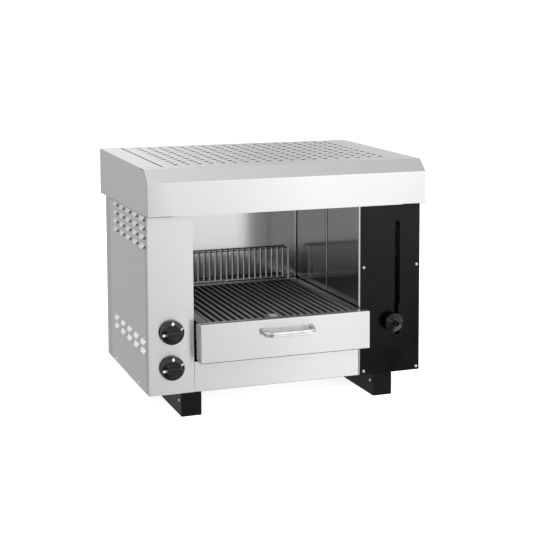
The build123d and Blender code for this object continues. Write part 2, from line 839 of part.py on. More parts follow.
rear_rim = folded(
    [
        (y_grate_end - grate_ledge, z_ledge), (y_grate_end + grate_gap, z_ledge),
        (y_grate_end + grate_gap, z_shelf), (y_shelf_end, z_shelf), (y_shelf_end, z_runner),
    ],
    -sheet,
)
front_angle = folded(
    [(y_shelf, z_ledge + grate_stop), (y_shelf, z_ledge), (y_grate + grate_ledge, z_ledge)], -sheet
)
shelf_frame = shelf_rail(x_shelf, 1, shelf_rim_left) + shelf_rail(x_shelf_end, -1, shelf_rim_right)
shelf_frame += along_x(rear_rim, x_shelf, x_shelf_end)
shelf_frame += along_x(
    front_angle, x_shelf + shelf_rim_left - sheet, x_shelf_end - shelf_rim_right + sheet
)

# Cast grate: tapered bars from front to back, joined at their ends and by ribs below, with a
# lifting pad at the front
x_grate = x_shelf + shelf_rim_left + grate_gap
x_grate_end = x_shelf_end - shelf_rim_right - grate_gap
bar_pitch = (x_grate_end - x_grate - bar_base) / (bar_count - 1)
bar_section = make_face(
    Polyline(
        (-bar_base / 2, z_ledge), (bar_base / 2, z_ledge), (bar_top / 2, z_shelf), (-bar_top / 2, z_shelf),
        close=True,
    )
)
grate = along_x(
    make_face(
        Polyline(
            (y_grate + sheet, z_ledge), (y_grate + bar_end + sheet, z_ledge),
            (y_grate + bar_end + sheet, z_shelf - bar_end_drop), (y_grate + sheet, z_shelf - bar_end_drop),
            close=True,
        )
    ),
    x_grate, x_grate_end,
)
grate += block(x_grate, x_grate_end, y_grate_end - bar_end, y_grate_end, z_ledge, z_shelf - bar_end_drop)
for i in range(rib_count):
    rib_y = y_grate + grate_depth * (i + 1) / (rib_count + 1)
    grate += block(
        x_grate, x_grate_end, rib_y - rib_width / 2, rib_y + rib_width / 2, z_ledge, z_ledge + rib_height
    )
bar = along_y(bar_section, y_grate + sheet, y_grate_end)
bar_xs = [x_grate + bar_base / 2 + i * bar_pitch for i in range(bar_count)]
grate += [Pos(x, 0, 0) * bar for x in bar_xs]
grate += block(
    bar_xs[pad_bar] - pad_width / 2, bar_xs[pad_bar] + pad_width / 2,
    y_grate + sheet, y_grate + sheet + pad_length, z_shelf - pad_thickness, z_shelf,
)

# Wire guard along the back of the shelf
y_guard = y_shelf_end - guard_setback
guard_count = int((x_grate_end - x_grate - guard_margin) / guard_pitch) + 1
guard_start = (x_grate + x_grate_end - (guard_count - 1) * guard_pitch) / 2
z_guard = z_shelf + guard_height
wire = RegularPolygon(guard_wire, 6)
wire_guard = along_x(
    Pos(y_guard + 2 * guard_wire - guard_weld, z_guard - guard_wire) * wire,
    guard_start - guard_wire, guard_start + (guard_count - 1) * guard_pitch + guard_wire,
)
wire_guard += along_x(
    Pos(y_guard + 2 * guard_wire - guard_weld, z_shelf + guard_rail) * wire,
    guard_start - guard_wire, guard_start + (guard_count - 1) * guard_pitch + guard_wire,
)
for i in range(guard_count):
    z_low = z_shelf if i % guard_post_step == 0 else z_shelf + guard_foot
    wire_guard += along_z(Pos(guard_start + i * guard_pitch, y_guard) * wire, z_low, z_guard)

# Drip tray on the runners
x_tray = x_shelf + sheet + tray_gap
x_tray_end = x_shelf_end - sheet - tray_gap
y_drawer = y_hood - drawer_lead
y_tray = y_drawer + sheet
z_tray = z_runner + sheet + fit_gap
drip_tray = block(x_tray, x_tray_end, y_tray, y_tray + tray_length, z_tray, z_tray + tray_depth)
drip_tray -= block(
    x_tray + sheet, x_tray_end - sheet, y_tray + sheet, y_tray + tray_length - sheet,
    z_tray + sheet, z_tray + tray_depth + 1,
)

# Drawer front, a folded pan open to the back
x_drawer = x_column + drawer_side_gap
x_drawer_end = x_panel + drawer_lap
z_drawer = z_shelf - drawer_height
drawer_front = block(x_drawer, x_drawer_end, y_drawer, y_drawer + drawer_return, z_drawer, z_shelf)
drawer_front = fillet(drawer_front.edges().filter_by(Axis.Y), drawer_corner)
drawer_front -= block(
    x_drawer + sheet, x_drawer_end - sheet, y_drawer + sheet, y_drawer + drawer_return + 1,
    z_drawer + sheet, z_shelf - sheet,
)

# Bow handle on the drawer front, drooping a little, with two screws from behind
x_handle = (x_drawer + x_drawer_end) / 2
z_handle = z_shelf - handle_drop
bow_width = handle_span + handle_thickness
hollow_width = handle_span - handle_thickness
hollow_bend = handle_bend - handle_thickness
plan = RectangleRounded(bow_width, 2 * handle_reach, handle_bend)
plan -= RectangleRounded(hollow_width, 2 * (handle_reach - handle_thickness), hollow_bend)
drawer_handle = extrude(plan, amount=handle_height / 2, both=True)
bow_flats = drawer_handle.faces().sort_by(Axis.Z)
drawer_handle = chamfer(bow_flats[0].outer_wire().edges() + bow_flats[-1].outer_wire().edges(), handle_edge)
drawer_handle = Rot(180 + handle_droop, 0, 0) * drawer_handle
drawer_handle -= block(-width, width, 0, 50, -50, 50)
handle_feet = [x_handle - handle_span / 2, x_handle + handle_span / 2]
drawer_handle = Pos(x_handle, y_drawer, z_handle) * drawer_handle
handle_screw_list = []
for x in handle_feet:
    shank = along_y(
        Pos(x, z_handle) * RegularPolygon(screw_radius, screw_sides // 2), y_drawer - handle_screw_depth, y_tray + sheet
    )
    drawer_handle -= shank
    drawer_front -= shank
    drip_tray -= shank
    head = along_y(
        Pos(x, z_handle) * RegularPolygon(screw_head, screw_sides),
        y_tray + sheet, y_tray + sheet + handle_screw_head,
    )
    handle_screw_list.append(shank + head)
handle_screws = Compound(children=handle_screw_list)

nodes = {
    "base_tray": base_tray,
    "left_foot": left_foot,
    "right_foot": right_foot,
    "foot_screws": foot_screws,
    "left_front_panel": left_front_panel,
    "left_side_panel": left_side_panel,
    "right_side_panel": right_side_panel,
    "side_screws": side_screws,
    "back_panel": back_panel,
    "lift_panel": lift_panel,
    "panel_screws": panel_screws,
    "sill_panel": sill_panel,
    "left_inner_wall": left_inner_wall,
    "chamber_back": chamber_back,
    "right_wall_front": right_wall_front,
    "right_wall_rear": right_wall_rear,
    "hood_shell": hood_shell,
    "hood_left_cheek": hood_left_cheek,
    "hood_right_cheek": hood_right_cheek,
    "hood_back": hood_back,
    "left_burner_rail": left_burner_rail,
    "right_burner_rail": right_burner_rail,
    "front_burner": front_burner,
    "rear_burner": rear_burner,
    "front_tiles": front_tiles,
    "rear_tiles": rear_tiles,
    "injector_bracket": injector_bracket,
    "gas_injectors": gas_injectors,
    "gas_manifold": gas_manifold,
    "upper_valve": upper_valve,
    "lower_valve": lower_valve,
    "front_pipe": front_pipe,
    "rear_pipe": rear_pipe,
    "supply_pipe": supply_pipe,
    "gas_inlet": gas_inlet,
    "upper_push_rod": upper_push_rod,
    "upper_spindle": upper_spindle,
    "upper_knob": upper_knob,
    "lower_push_rod": lower_push_rod,
    "lower_spindle": lower_spindle,
    "lower_knob": lower_knob,
    "guide_rods": guide_rods,
    "lower_rod_plate": lower_rod_plate,
    "upper_rod_plate": upper_rod_plate,
    "stop_collars": stop_collars,
    "carriage": carriage,
    "carriage_bushes": carriage_bushes,
    "shelf_arm": shelf_arm,
    "lift_tongue": lift_tongue,
    "clamp_knob": clamp_knob,
    "clamp_screw": clamp_screw,
    "shelf_frame": shelf_frame,
    "grate": grate,
    "wire_guard": wire_guard,
    "drip_tray": drip_tray,
    "drawer_front": drawer_front,
    "drawer_handle": drawer_handle,
    "handle_screws": handle_screws,
}
for name, shape in nodes.items():
    export_step(shape, f"parts/{name}.step")
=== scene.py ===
import json
from math import cos, pi, radians, sin

import bmesh
import bpy
from mathutils import Matrix, Vector

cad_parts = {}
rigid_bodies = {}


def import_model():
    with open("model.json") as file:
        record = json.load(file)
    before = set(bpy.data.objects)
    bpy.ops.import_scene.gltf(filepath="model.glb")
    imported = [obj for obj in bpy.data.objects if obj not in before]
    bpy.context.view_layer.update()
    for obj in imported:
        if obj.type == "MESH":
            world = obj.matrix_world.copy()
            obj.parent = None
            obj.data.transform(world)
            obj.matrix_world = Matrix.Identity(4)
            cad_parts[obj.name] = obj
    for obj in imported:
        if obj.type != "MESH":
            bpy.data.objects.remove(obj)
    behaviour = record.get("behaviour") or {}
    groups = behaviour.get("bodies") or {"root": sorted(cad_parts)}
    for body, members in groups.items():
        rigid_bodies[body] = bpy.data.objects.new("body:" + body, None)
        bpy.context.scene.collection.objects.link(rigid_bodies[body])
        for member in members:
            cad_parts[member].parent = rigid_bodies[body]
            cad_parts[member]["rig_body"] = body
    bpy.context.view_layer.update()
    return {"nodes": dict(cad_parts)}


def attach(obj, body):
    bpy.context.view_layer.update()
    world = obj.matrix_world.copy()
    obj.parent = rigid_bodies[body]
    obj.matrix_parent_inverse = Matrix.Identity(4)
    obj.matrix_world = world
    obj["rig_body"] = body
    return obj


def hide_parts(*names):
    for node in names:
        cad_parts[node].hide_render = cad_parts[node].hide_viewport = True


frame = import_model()

# Blender's own start-up objects are cleared away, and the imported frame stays.
strays = [o for o in bpy.data.objects if "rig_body" not in o and not o.name.startswith("body:")]
for stray in strays:
    bpy.data.objects.remove(stray)


# Feet: two folded channels of 2 mm sheet that run from front to back, powder coated black.
# The coat gives a satin black with a faint orange peel and paler, drier patches.
def linear(code):
    """An sRGB hex colour as linear red, green and blue with a full alpha."""
    parts = [int(code[i:i + 2], 16) / 255 for i in (1, 3, 5)]
    bands = [c / 12.92 if c <= 0.04045 else ((c + 0.055) / 1.055) ** 2.4 for c in parts]
    return (*bands, 1.0)


def add(tree, kind, inputs, **settings):
    """One node with its settings, and its inputs set to a value or linked to a socket.

    Some sockets go by number: a colour Mix has its factor at 0, its colours at 6 and 7 and its
    result at 2; a Map Range has its value at 0, its range at 1 and 2 and the new one at 3 and 4.
    """
    node = tree.nodes.new(kind)
    for key, value in settings.items():
        setattr(node, key, value)
    for key, value in inputs.items():
        if isinstance(value, bpy.types.NodeSocket):
            tree.links.new(value, node.inputs[key])
        else:
            node.inputs[key].default_value = value
    return node


def feed(tree, shader, sockets):
    """The shader's sockets take what other nodes give out."""
    for name, output in sockets.items():
        tree.links.new(output, shader.inputs[name])


def new_finish(name, sockets):
    """A material of one Principled shader, with its tree, its shader and Object coordinates."""
    made = bpy.data.materials.new(name)
    made.use_nodes = True
    tree = made.node_tree
    tree.nodes.clear()
    shader = add(tree, "ShaderNodeBsdfPrincipled", sockets)
    add(tree, "ShaderNodeOutputMaterial", {"Surface": shader.outputs[0]})
    return made, tree, shader, add(tree, "ShaderNodeTexCoord", {}).outputs["Object"]


def powder_coat(name, dark, pale, rough, peel_mm, gloss):
    """Black powder coat: patches tens of millimetres wide and an orange peel of the given size."""
    made, tree, shader, place = new_finish(name, {"Specular IOR Level": gloss})
    patches_per_metre, drier = 14.0, 0.1
    patch = add(
        tree, "ShaderNodeTexNoise", {"Vector": place, "Scale": patches_per_metre, "Detail": 4.0}
    )
    tint = add(
        tree, "ShaderNodeMix", {0: patch.outputs[0], 6: linear(dark), 7: linear(pale)},
        data_type="RGBA",
    )
    dull = add(
        tree, "ShaderNodeMapRange",
        {0: patch.outputs[0], 1: 0.3, 2: 0.7, 3: rough, 4: rough + drier},
    )
    peel = add(
        tree, "ShaderNodeTexNoise", {"Vector": place, "Scale": 1000 / peel_mm, "Detail": 2.0}
    )
    bump = add(
        tree, "ShaderNodeBump", {"Height": peel.outputs[0], "Strength": 0.06, "Distance": 0.0003}
    )
    feed(tree, shader, {
        "Base Color": tint.outputs[2], "Roughness": dull.outputs[0], "Normal": bump.outputs[0],
    })
    return made


def settle(bm, name, finish, body, slot, *nodes):
    """A mesh in millimetres becomes a smooth-shaded piece on a body and stands for CAD nodes."""
    crease = radians(38)
    bmesh.ops.scale(bm, vec=(0.001, 0.001, 0.001), verts=bm.verts)
    for edge in bm.edges:
        edge.smooth = len(edge.link_faces) != 2 or edge.calc_face_angle(0.0) < crease
    for face in bm.faces:
        face.smooth = True
    mesh = bpy.data.meshes.new(name)
    bm.to_mesh(mesh)
    bm.free()
    mesh.materials.append(finish)
    made = bpy.data.objects.new(name, mesh)
    bpy.context.scene.collection.objects.link(made)
    made.modifiers.new("Flat faces stay flat", "WEIGHTED_NORMAL").keep_sharp = True
    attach(made, body)
    if nodes:
        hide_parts(*nodes)
    return made


def ease(bm, edges, offset, segments, **limits):
    """Edges are rounded off by so many millimetres."""
    bmesh.ops.bevel(
        bm, geom=edges, offset=offset, segments=segments, profile=0.5, affect="EDGES", material=-1,
        **limits,
    )


def rounded_copy(node, radius, bend=0, bend_at=(0, 0)):
    """The CAD sheet in millimetres, its long edges rounded and one upright fold bent softly."""
    flat, sharp_fold, close = radians(1), radians(25), 0.01
    bm = bmesh.new()
    bm.from_mesh(frame["nodes"][node].data)
    bmesh.ops.scale(bm, vec=(1000, 1000, 1000), verts=bm.verts)
    bmesh.ops.remove_doubles(bm, verts=bm.verts, dist=0.005)
    bmesh.ops.dissolve_limit(bm, angle_limit=flat, verts=bm.verts, edges=bm.edges)
    if bend:
        fold_line = Vector(bend_at)
        fold = [e for e in bm.edges if all((v.co.xy - fold_line).length < close for v in e.verts)]
        ease(bm, fold, bend, segments=4)
    sharp = [e for e in bm.edges if len(e.link_faces) == 2 and e.calc_face_angle(0.0) > sharp_fold]
    long_edges = [e for e in sharp if e.calc_length() > 4 * radius]
    ease(bm, long_edges, radius, segments=2, clamp_overlap=True)
    return bm


black_coat = powder_coat(
    "black powder coated steel, feet", "#0c0c0d", "#141416", rough=0.34, peel_mm=1.6, gloss=0.11
)
for side in ("left", "right"):
    channel = rounded_copy(f"{side}_foot", 0.9)
    settle(channel, f"{side}_channel_foot", black_coat, "cabinet", "black_paint", f"{side}_foot")


# Base tray: galvanised steel pan that carries the panels and reaches into the feet with four tabs.
# Zinc spangle gives flat grey flakes some 12 mm wide, each a little lighter or darker.
def galvanised(name, dark, pale, rough):
    """Zinc coated steel whose flakes differ in tone and in gloss."""
    made, tree, shader, place = new_finish(name, {"Metallic": 1.0})
    spangle_mm = 12
    flakes = add(tree, "ShaderNodeTexVoronoi", {"Vector": place, "Scale": 1000 / spangle_mm})
    level = add(tree, "ShaderNodeSeparateColor", {"Color": flakes.outputs["Color"]})
    tint = add(
        tree, "ShaderNodeMix", {0: level.outputs[0], 6: linear(dark), 7: linear(pale)},
        data_type="RGBA",
    )
    dull = add(tree, "ShaderNodeMapRange", {0: level.outputs[1], 3: rough - 0.08, 4: rough + 0.1})
    feed(tree, shader, {"Base Color": tint.outputs[2], "Roughness": dull.outputs[0]})
    return made


def coat(finish, *nodes):
    """A CAD node whose shape is right keeps it and takes the finish."""
    for node in nodes:
        slots = frame["nodes"][node].data.materials
        slots.clear()
        slots.append(finish)


zinc = galvanised("galvanised steel", "#8b8f92", "#b3b6b8", rough=0.42)
coat(zinc, "base_tray")


# Outer cabinet: folded stainless sheet of 1.5 mm, linished along the length of each blank.
# Linishing leaves fine scratches that blur reflections; they are drawn about 1 mm wide so that
# they show.
def linished(name, grain, dark="#dadad9", pale="#e0e0df", *, rough, spread=0.7):
    """Stainless sheet with scratches along X, Y or Z, which spread its reflections across them."""
    made, tree, shader, place = new_finish(
        name, {"Metallic": 1.0, "Anisotropic": spread, "Anisotropic Rotation": 0.25}
    )
    scratch_mm, length_mm, clouds_per_metre = 1.1, 160, 5.0
    lay = add(tree, "ShaderNodeCombineXYZ", {grain: 1.0})
    stretch = [1000 / (length_mm if axis == grain else scratch_mm) for axis in "XYZ"]
    lengthwise = add(tree, "ShaderNodeMapping", {"Vector": place, "Scale": stretch})
    scratch = add(
        tree, "ShaderNodeTexNoise", {"Vector": lengthwise.outputs[0], "Scale": 1.0, "Detail": 3.0}
    )
    cloud = add(
        tree, "ShaderNodeTexNoise", {"Vector": place, "Scale": clouds_per_metre, "Detail": 3.0}
    )
    both = add(
        tree, "ShaderNodeMath", {0: scratch.outputs[0], 1: cloud.outputs[0]}, operation="MULTIPLY"
    )
    tint = add(
        tree, "ShaderNodeMix", {0: scratch.outputs[0], 6: linear(dark), 7: linear(pale)},
        data_type="RGBA",
    )
    dull = add(
        tree, "ShaderNodeMapRange",
        {0: both.outputs[0], 1: 0.1, 2: 0.4, 3: rough - 0.02, 4: rough + 0.02},
    )
    bump = add(
        tree, "ShaderNodeBump",
        {"Height": scratch.outputs[0], "Strength": 0.005, "Distance": 0.0002},
    )
    feed(tree, shader, {
        "Base Color": tint.outputs[2], "Roughness": dull.outputs[0], "Normal": bump.outputs[0],
        "Tangent": lay.outputs[0],
    })
    return made


def paint_fold_shade_below(bm, height):
    """Faces that look down below a height take the sheet's second finish, the painted shade at the
    fold.
    """
    for face in bm.faces:
        face.material_index = int(face.normal.z < -0.3 and face.calc_center_median().z < height)


steel_across = linished("stainless steel, linished across", "X", rough=0.26, spread=0.92)
steel_deep = linished("stainless steel, linished front to back", "Y", rough=0.34)
steel_upright = linished("stainless steel, linished upright", "Z", rough=0.3)
# Painted shade: a darker grey steel for the downward faces of folds, drawn as the shade line under
# edges.
painted_fold_shade = linished(
    "stainless steel, painted shade at the fold", "X", "#5d5d5c", "#6c6c6b", rough=0.5, spread=0.0
)
# Painted shade: the downward faces of the sill and back sheets near their foot take the dark fold
# steel, as a shade line.
cabinet_foot = 51
for name, node, finish in (
    ("sill_sheet", "sill_panel", steel_across), ("back_sheet", "back_panel", steel_upright),
):
    bm = rounded_copy(node, 1.0)
    paint_fold_shade_below(bm, cabinet_foot)
    settle(bm, name, finish, "cabinet", "stainless_sheet", node).data.materials.append(painted_fold_shade)
bm = rounded_copy("left_front_panel", 1.0)
side_gap, side_x, wrap_y = 1.5, -298, -156
for v in bm.verts:
    v.co.y -= side_gap * (v.co.x < side_x and v.co.y > wrap_y)
settle(bm, "column_sheet", steel_across, "cabinet", "stainless_sheet", "left_front_panel")

# Side panels: stainless sheets set between the wrapped edges of the front and the back, with a
# shadow gap round them. The left one has pressed louvres in a glossier steel, lighter as a painted
# highlight; the front ends of the upper rows carry painted shade on their upper halves.
painted_bright_louvre_steel = linished(
    "stainless steel, painted bright on the louvres", "Y", "#e2e2e1", "#e8e8e7", rough=0.22, spread=0.2
)
# Painted highlight on the louvre faces and the lower halves of the upper ends; painted shade on the
# tops of those ends.
rear_edge, top_edge, top_gap = 157.9, 409.5, 2.5
pressed_x, upper_rows = -300.3, 250
for name, node in (
    ("louvred_side_sheet", "left_side_panel"), ("plain_side_sheet", "right_side_panel"),
):
    bm = rounded_copy(node, 0.4)
    for v in bm.verts:
        v.co.y -= side_gap * (v.co.y > rear_edge)
        v.co.z -= top_gap * (v.co.z > top_edge)
    for face in bm.faces:
        face.material_index = int(face.calc_center_median().x < pressed_x)
    louvres = [f for f in bm.faces if f.material_index and f.calc_center_median().z > upper_rows]
    for end in [f for f in louvres if f.normal.y < -0.5]:
        level = end.calc_center_median().z
        halves = bmesh.ops.bisect_plane(
            bm, geom=[end, *end.edges, *end.verts], plane_co=(0, 0, level), plane_no=(0, 0, 1)
        )["geom"]
        for half in (g for g in halves if isinstance(g, bmesh.types.BMFace)):
            half.material_index = 1 + int(half.calc_center_median().z > level)
    sheet = settle(bm, name, steel_deep, "cabinet", "stainless_sheet", node)
    sheet.data.materials.append(painted_bright_louvre_steel)
    sheet.data.materials.append(painted_fold_shade)

# Screws: bright zinc pan heads with a drive recess, two in each side and in each foot, four in the
# black panel. Each head is turned, so it is spun from half its section.
bright_zinc = galvanised("bright zinc plated steel", "#dededc", "#efefec", rough=0.28)


def spin_section(bm, section, steps):
    """Half a section, as radius and height in millimetres, is spun round Z."""
    line = [bm.verts.new((r, 0, z)) for r, z in section]
    edges = [bm.edges.new(pair) for pair in zip(line, line[1:])]
    bmesh.ops.spin(
        bm, geom=line + edges, cent=(0, 0, 0), axis=(0, 0, 1), angle=2 * pi, steps=steps,
        use_merge=True,
    )


def pan_heads(name, seats, outward, *nodes):
    """A row of screws on their seats, with their heads outwards."""
    bm = bmesh.new()
    section = [
        (0, 0.9), (1.2, 0.9), (1.3, 1.9), (2.0, 1.75), (2.75, 1.3), (3.25, 0.65), (3.4, 0),
        (2.0, 0), (2.0, -3), (0, -3),
    ]
    facing_out = Vector((0, 0, 1)).rotation_difference(Vector(outward)).to_matrix().to_4x4()
    for seat in seats:
        spin_section(bm, section, steps=20)
        head = [v for v in bm.verts if not v.tag]
        bmesh.ops.transform(bm, matrix=Matrix.Translation(seat) @ facing_out, verts=head)
        for v in head:
            v.tag = True
    bmesh.ops.remove_doubles(bm, verts=bm.verts, dist=0.01)
    bmesh.ops.recalc_face_normals(bm, faces=bm.faces)
    settle(bm, name, bright_zinc, "cabinet", "steel_screw", *nodes)


side_ys, side_z = (-86.1, 116.6), 54.5
pan_heads("left_side_screws", [(-300, y, side_z) for y in side_ys], (-1, 0, 0), "side_screws")
pan_heads("right_side_screws", [(300, y, side_z) for y in side_ys], (1, 0, 0))
foot_seats = [(x, y, 31) for x in (-234, 191) for y in (-157.5, 181.5)]
pan_heads("foot_pan_screws", foot_seats, (-1, 0, 0), "foot_screws")
panel_seats = [(x, -171, z) for x in (169.5, 293) for z in (55.5, 278.5)]
pan_heads("lift_panel_screws", panel_seats, (0, -1, 0), "panel_screws")

# Lift panel: a folded steel front at the right, coated satin black, with the slot for the lift.
# Its coat is finer and a little glossier than the feet's.
panel_coat = powder_coat(
    "black powder coated steel, panel", "#040405", "#060607", rough=0.16, peel_mm=0.9, gloss=0.21
)
bm = rounded_copy("lift_panel", 0.6)
settle(bm, "lift_panel_sheet", panel_coat, "cabinet", "black_paint", "lift_panel")

# Chamber liner: smooth bright-annealed stainless sheets round the cooking space, two of them beside
# the lift's slit. They mirror the grate and the guard, a little softly.
bright_liner = linished(
    "stainless steel, bright annealed", "Z", "#c2c2c1", "#cacac9", rough=0.15, spread=0.3
)
wall_x, front_y = 157, -171
for name, node, bend, bend_at in (
    ("left_liner_sheet", "left_inner_wall", 0, (0, 0)),
    ("back_liner_sheet", "chamber_back", 0, (0, 0)),
    ("front_slit_sheet", "right_wall_front", 1.6, (wall_x, front_y)),
    ("rear_slit_sheet", "right_wall_rear", 2.4, (wall_x, 4.5)),
):
    bm = rounded_copy(node, 0.4, bend, bend_at)
    for face in bm.faces:
        at_front = face.calc_center_median().y < front_y + 2
        face.material_index = int(face.normal.y < -0.9 and at_front)
    piece = settle(bm, name, bright_liner, "cabinet", "stainless_sheet", node)
    piece.data.materials.append(steel_upright)


def verts_in(geom):
    """The vertices among what an operator gives back."""
    return [g for g in geom if isinstance(g, bmesh.types.BMVert)]


def thicken(piece, thickness):
    """A sheet drawn as its outer face gets its wall inwards, before its normals are weighted."""
    wall = piece.modifiers.new("Sheet thickness", "SOLIDIFY")
    wall.thickness, wall.offset = thickness, -1.0
    piece.modifiers.move(1, 0)


corner_y, corner_radius, liner_foot, liner_height = 185, 4, 50, 361
bm = bmesh.new()
start = bm.verts.new((wall_x, corner_y, liner_foot))
centre = (wall_x - corner_radius, corner_y, liner_foot)
bmesh.ops.spin(bm, geom=[start], cent=centre, axis=(0, 0, 1), angle=pi / 2, steps=6)
bent = bmesh.ops.extrude_edge_only(bm, edges=bm.edges[:])["geom"]
bmesh.ops.translate(bm, vec=(0, 0, liner_height), verts=verts_in(bent))
bmesh.ops.recalc_face_normals(bm, faces=bm.faces)
if sum(f.normal.x for f in bm.faces) > 0:
    bmesh.ops.reverse_faces(bm, faces=bm.faces)
corner_bend = settle(bm, "liner_corner_bend", bright_liner, "cabinet", "stainless_sheet")
thicken(corner_bend, 0.0005)

# Hood cheeks and back: stainless ends spot welded under the folded top. The left cheek also carries
# the strip of top beside the slit.
# Painted shade: the downward faces below the hood's foot take the dark fold steel, as the shade
# line under the cheeks and the back.
hood_foot = 415
for name, node, finish in (
    ("left_cheek_sheet", "hood_left_cheek", steel_deep),
    ("right_cheek_sheet", "hood_right_cheek", steel_deep),
    ("hood_back_sheet", "hood_back", steel_across),
):
    bm = rounded_copy(node, 1.1)
    paint_fold_shade_below(bm, hood_foot)
    settle(bm, name, finish, "cabinet", "stainless_sheet", node).data.materials.append(painted_fold_shade)

# Hood shell: one sheet folded from the lip under the fascia, up over the chamfer, to the perforated
# top that rises to the back. The holes are punched in 11 rows of 19, and the left edge stops at the
# slit.
columns, rows, pitch_x, pitch_y, hole_radius, hole_margin = 19, 11, 25.4, 30.6, 5.7, 7.0
first_x, first_y = -221, -105
slit_x, left_x, right_x, back_y = -254.5, -303, 303, 239
slit_end_y, chamfer_y, fascia_y, lip_y = -136, -163.5, -191, -169.5
chamfer_top, chamfer_foot, fascia_foot = 505, 480, 412
top_rise, top_depth = 9, 402.5
bm = bmesh.new()
bmesh.ops.create_grid(bm, x_segments=columns, y_segments=rows, size=0.5)
bmesh.ops.scale(bm, vec=(columns * pitch_x, rows * pitch_y, 1), verts=bm.verts)
field_middle = (first_x + (columns - 1) / 2 * pitch_x, first_y + (rows - 1) / 2 * pitch_y, 0)
bmesh.ops.translate(bm, vec=field_middle, verts=bm.verts)
punched = list(bm.faces)
bmesh.ops.inset_individual(bm, faces=punched, thickness=hole_margin, use_even_offset=True)
rims = list({e for f in punched for e in f.edges})
bmesh.ops.subdivide_edges(bm, edges=rims, cuts=3)
for face in punched:
    middle = face.calc_center_median()
    for v in face.verts:
        v.co = middle + (v.co - middle).normalized() * hole_radius
bmesh.ops.delete(bm, geom=punched, context="FACES_ONLY")


def pull(bm, axis, at, **to):
    """The sheet's open edge at one coordinate is drawn on to new coordinates."""
    border = [e for e in bm.edges if e.is_boundary]
    edge = [e for e in border if all(abs(v.co[axis] - at) < 0.01 for v in e.verts)]
    for v in verts_in(bmesh.ops.extrude_edge_only(bm, edges=edge)["geom"]):
        for letter, value in to.items():
            setattr(v.co, letter, value)


pull(bm, 0, first_x - pitch_x / 2, x=slit_x)
pull(bm, 0, first_x + (columns - 0.5) * pitch_x, x=right_x)
pull(bm, 1, first_y + (rows - 0.5) * pitch_y, y=back_y)
pull(bm, 1, first_y - pitch_y / 2, y=slit_end_y)
pull(bm, 1, slit_end_y, y=chamfer_y)
border = [e for e in bm.edges if e.is_boundary]
corner = [
    e for e in border
    if all(abs(v.co.x - slit_x) < 0.01 and v.co.y < slit_end_y + 0.1 for v in e.verts)
]
for v in verts_in(bmesh.ops.extrude_edge_only(bm, edges=corner)["geom"]):
    v.co.x = left_x
for v in bm.verts:
    v.co.z = chamfer_top + (v.co.y - chamfer_y) * top_rise / top_depth
pull(bm, 1, chamfer_y, y=fascia_y, z=chamfer_foot)
pull(bm, 2, chamfer_foot, z=fascia_foot)
pull(bm, 2, fascia_foot, y=lip_y)
fold_lines = ((chamfer_y, chamfer_top), (fascia_y, chamfer_foot), (fascia_y, fascia_foot))
folds = [
    e for e in bm.edges if not e.is_boundary and abs(e.verts[0].co.y - e.verts[1].co.y) < 0.01
    and any(
        all(abs(v.co.y - y) < 0.01 and abs(v.co.z - z) < 0.01 for v in e.verts)
        for y, z in fold_lines
    )
]
ease(bm, folds, 1.6, segments=3)
bmesh.ops.recalc_face_normals(bm, faces=bm.faces)
if sum(f.normal.z * f.calc_area() for f in bm.faces) < 0:
    bmesh.ops.reverse_faces(bm, faces=bm.faces)
# Painted shade: faces that look down, under the lip, take the dark fold steel as the shade line
# over the column.
for face in bm.faces:
    face.material_index = 2 * int(face.normal.z < -0.3)
hood = settle(
    bm, "perforated_hood_sheet", steel_across, "cabinet", "stainless_sheet", "hood_shell"
)
thicken(hood, 0.0015)
wall = hood.modifiers["Sheet thickness"]
wall.material_offset, wall.material_offset_rim = 1, 1
sooted = linished(
    "stainless steel, heat darkened", "Z", "#161615", "#1f1f1e", rough=0.5, spread=0.0
)
for finish in (sooted, painted_fold_shade, sooted):
    hood.data.materials.append(finish)

# Burner rails: galvanised angles on the tops of the chamber walls, dulled by the heat.
# Burners: two pressed steel boxes with mixing tubes, tinted straw and blue where they run hot.
hot_zinc = galvanised("galvanised steel, dulled by heat", "#5f6060", "#777772", rough=0.5)
coat(hot_zinc, "left_burner_rail", "right_burner_rail", "injector_bracket")
tinted, tree, shader, place = new_finish("heat tinted steel", {"Metallic": 1.0, "Roughness": 0.38})
drifts_per_metre = 9.0
drift = add(
    tree, "ShaderNodeTexNoise", {"Vector": place, "Scale": drifts_per_metre, "Detail": 3.0}
)
straw = add(
    tree, "ShaderNodeMix", {0: drift.outputs[0], 6: linear("#4d473f"), 7: linear("#3c3c40")},
    data_type="RGBA",
)
feed(tree, shader, {"Base Color": straw.outputs[2]})
coat(tinted, "front_burner", "rear_burner")

# Burner tiles: extruded cordierite ceramic, cream, with burner ports about 1.3 mm wide.
# The ports are drawn at a pitch of 3 mm so that they show from the grate, as dents with painted
# shade.
ceramic, tree, shader, place = new_finish(
    "cordierite ceramic", {"Roughness": 0.85, "Specular IOR Level": 0.2}
)
port_pitch_mm, stains_per_metre = 3.0, 16.0
ports = add(
    tree, "ShaderNodeTexVoronoi",
    {"Vector": place, "Scale": 1000 / port_pitch_mm, "Randomness": 0.0},
)
mouth = add(tree, "ShaderNodeMapRange", {0: ports.outputs["Distance"], 1: 0.26, 2: 0.34})
soot = add(
    tree, "ShaderNodeTexNoise", {"Vector": place, "Scale": stains_per_metre, "Detail": 3.0}
)
body_tint = add(
    tree, "ShaderNodeMix", {0: soot.outputs[0], 6: linear("#d9cbb2"), 7: linear("#c7b08c")},
    data_type="RGBA",
)
# Painted shade: the port mouths are coloured dark brown.
tile_tint = add(
    tree, "ShaderNodeMix", {0: mouth.outputs[0], 6: linear("#4a3f35"), 7: body_tint.outputs[2]},
    data_type="RGBA",
)
dent = add(
    tree, "ShaderNodeBump", {"Height": mouth.outputs[0], "Strength": 0.6, "Distance": 0.0006}
)
feed(tree, shader, {"Base Color": tile_tint.outputs[2], "Normal": dent.outputs[0]})
coat(ceramic, "front_tiles", "rear_tiles")


